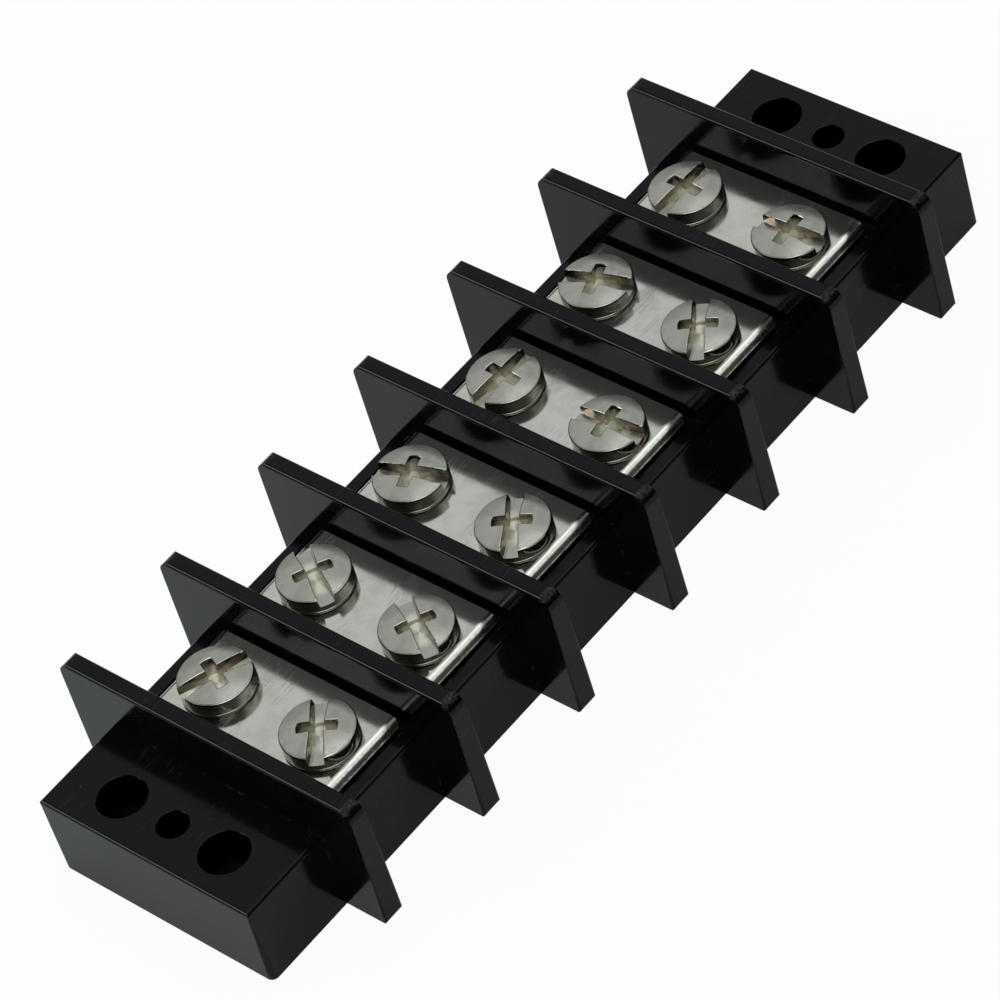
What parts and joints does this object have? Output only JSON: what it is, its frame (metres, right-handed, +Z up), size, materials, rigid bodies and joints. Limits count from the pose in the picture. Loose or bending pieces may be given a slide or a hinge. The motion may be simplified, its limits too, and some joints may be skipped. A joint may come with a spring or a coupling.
{
  "type": "barrier terminal strip",
  "caption": "Black moulded strip with barrier plates between bays, each bay with a bent metal plate and screws that clamp leads, and end blocks drilled for fixing.",
  "frame": {"origin": "centre of the bottom face that the strip is fixed down on", "axes": "+X along the strip, +Y across it towards the left screws, +Z up through the screws"},
  "size_m": [0.145, 0.0492, 0.0208],
  "materials": {
    "black_moulding": "glossy black moulded thermoset",
    "plated_plate": "satin nickel-plated brass",
    "plated_screw": "satin nickel-plated steel"
  },
  "bodies": {
    "strip": {"housing": "black_moulding", "terminal_plate_1": "plated_plate", "terminal_plate_2": "plated_plate", "terminal_plate_3": "plated_plate", "terminal_plate_4": "plated_plate", "terminal_plate_5": "plated_plate", "terminal_plate_6": "plated_plate"},
    "screw_1_left": {"screw_1_left": "plated_screw"},
    "screw_1_right": {"screw_1_right": "plated_screw"},
    "screw_2_left": {"screw_2_left": "plated_screw"},
    "screw_2_right": {"screw_2_right": "plated_screw"},
    "screw_3_left": {"screw_3_left": "plated_screw"},
    "screw_3_right": {"screw_3_right": "plated_screw"},
    "screw_4_left": {"screw_4_left": "plated_screw"},
    "screw_4_right": {"screw_4_right": "plated_screw"},
    "screw_5_left": {"screw_5_left": "plated_screw"},
    "screw_5_right": {"screw_5_right": "plated_screw"},
    "screw_6_left": {"screw_6_left": "plated_screw"},
    "screw_6_right": {"screw_6_right": "plated_screw"}
  },
  "joints": [
    {"name": "screw_1_left_turn", "type": "hinge", "parent": "strip", "child": "screw_1_left", "pos_m": [-0.0475, 0.0087, 0.01405], "axis": [0, 0, 1], "continuous": true},
    {"name": "screw_1_right_turn", "type": "hinge", "parent": "strip", "child": "screw_1_right", "pos_m": [-0.0475, -0.0087, 0.01405], "axis": [0, 0, 1], "continuous": true},
    {"name": "screw_2_left_turn", "type": "hinge", "parent": "strip", "child": "screw_2_left", "pos_m": [-0.0285, 0.0087, 0.01405], "axis": [0, 0, 1], "continuous": true},
    {"name": "screw_2_right_turn", "type": "hinge", "parent": "strip", "child": "screw_2_right", "pos_m": [-0.0285, -0.0087, 0.01405], "axis": [0, 0, 1], "continuous": true},
    {"name": "screw_3_left_turn", "type": "hinge", "parent": "strip", "child": "screw_3_left", "pos_m": [-0.0095, 0.0087, 0.01405], "axis": [0, 0, 1], "continuous": true},
    {"name": "screw_3_right_turn", "type": "hinge", "parent": "strip", "child": "screw_3_right", "pos_m": [-0.0095, -0.0087, 0.01405], "axis": [0, 0, 1], "continuous": true},
    {"name": "screw_4_left_turn", "type": "hinge", "parent": "strip", "child": "screw_4_left", "pos_m": [0.0095, 0.0087, 0.01405], "axis": [0, 0, 1], "continuous": true},
    {"name": "screw_4_right_turn", "type": "hinge", "parent": "strip", "child": "screw_4_right", "pos_m": [0.0095, -0.0087, 0.01405], "axis": [0, 0, 1], "continuous": true},
    {"name": "screw_5_left_turn", "type": "hinge", "parent": "strip", "child": "screw_5_left", "pos_m": [0.0285, 0.0087, 0.01405], "axis": [0, 0, 1], "continuous": true},
    {"name": "screw_5_right_turn", "type": "hinge", "parent": "strip", "child": "screw_5_right", "pos_m": [0.0285, -0.0087, 0.01405], "axis": [0, 0, 1], "continuous": true},
    {"name": "screw_6_left_turn", "type": "hinge", "parent": "strip", "child": "screw_6_left", "pos_m": [0.0475, 0.0087, 0.01405], "axis": [0, 0, 1], "continuous": true},
    {"name": "screw_6_right_turn", "type": "hinge", "parent": "strip", "child": "screw_6_right", "pos_m": [0.0475, -0.0087, 0.01405], "axis": [0, 0, 1], "continuous": true}
  ]
}
